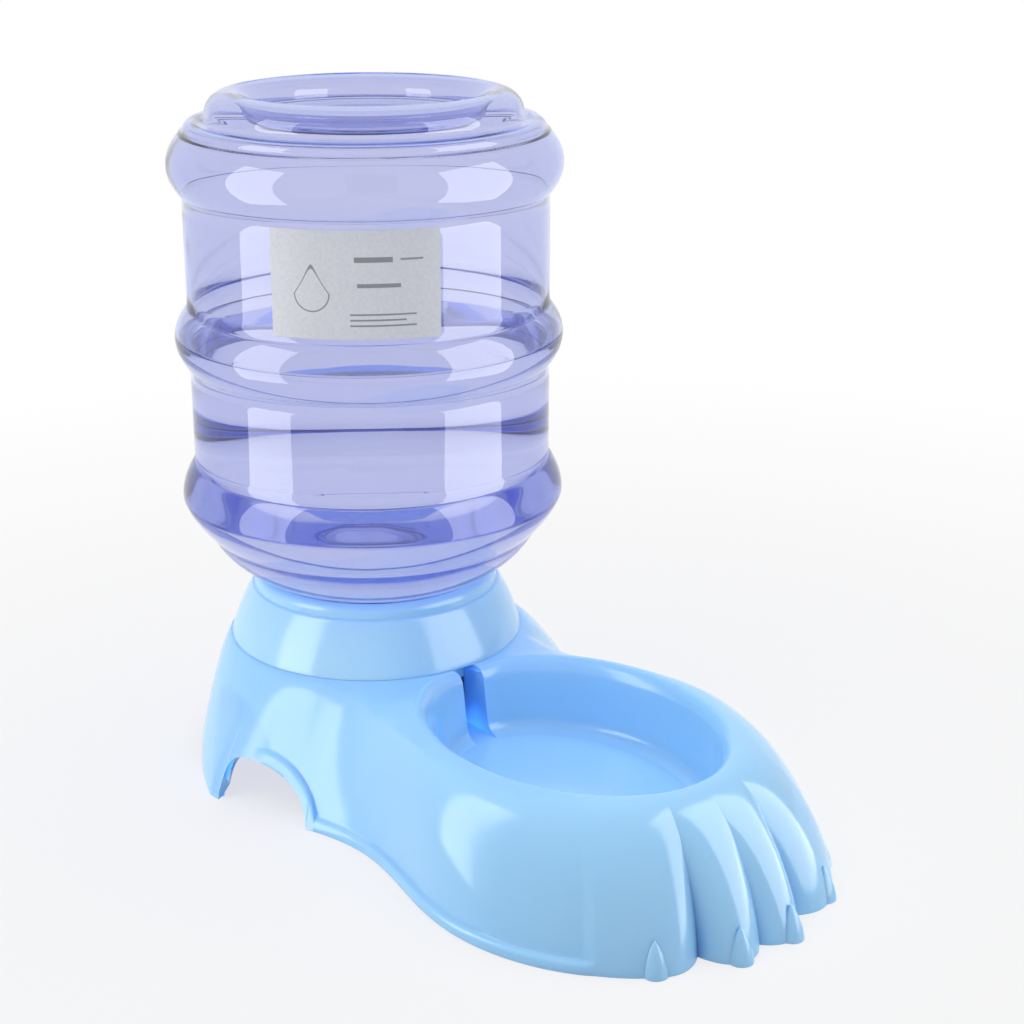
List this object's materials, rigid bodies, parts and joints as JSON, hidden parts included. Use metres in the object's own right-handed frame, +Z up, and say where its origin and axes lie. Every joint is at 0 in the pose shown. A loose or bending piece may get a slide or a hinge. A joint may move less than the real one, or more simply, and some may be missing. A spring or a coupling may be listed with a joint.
{
  "type": "gravity pet water dispenser",
  "caption": "Gravity water dispenser for pets: an inverted transparent jug with a valve cap stands in a collar on a paw-shaped base with a drinking dish.",
  "frame": {"origin": "on the ground under the middle of the outer box", "axes": "+Z up, the toes of the paw point along -Y, X runs across the base and is 0 on its plane of symmetry"},
  "size_m": [0.194, 0.3356, 0.287],
  "materials": {
    "base_plastic": "glossy moulded light blue plastic",
    "jug_plastic": "clear blow-moulded plastic with a lilac-blue tint",
    "label_paper": null,
    "cap_plastic": "satin white plastic",
    "seal_rubber": "soft grey rubber",
    "spring_steel": "drawn stainless wire"
  },
  "bodies": {
    "base": {"base_shell": "base_plastic", "collar": "base_plastic"},
    "valve": {"valve_stem": "cap_plastic", "valve_seal": "seal_rubber", "valve_spring": "spring_steel"},
    "cap": {"screw_cap": "cap_plastic", "valve_cage": "cap_plastic"},
    "gasket": {"cap_gasket": "seal_rubber"},
    "jug": {"bottle": "jug_plastic", "bottle_label": "label_paper"}
  },
  "joints": [
    {"name": "bottle_lift", "type": "slide", "parent": "base", "child": "valve", "axis": [0, 0, 1], "range_m": [0, 0.15]},
    {"name": "valve_close", "type": "slide", "parent": "valve", "child": "cap", "axis": [0, 0, 1], "range_m": [0, 0.0059], "stiffness_N_per_m": 135, "springref_m": 0.012, "deforming": ["valve_spring"]},
    {"name": "bottle_turn", "type": "hinge", "parent": "cap", "child": "gasket", "pos_m": [0, 0.08515, 0.06], "axis": [0, 0, 1], "range_deg": [0, 540]},
    {"name": "bottle_rise", "type": "slide", "parent": "gasket", "child": "jug", "axis": [0, 0, 1], "range_m": [0, 0.0076]}
  ],
  "couplings": [
    {"joint": "bottle_rise", "follows": "bottle_turn", "m_per_rad": 0.00079577}
  ]
}
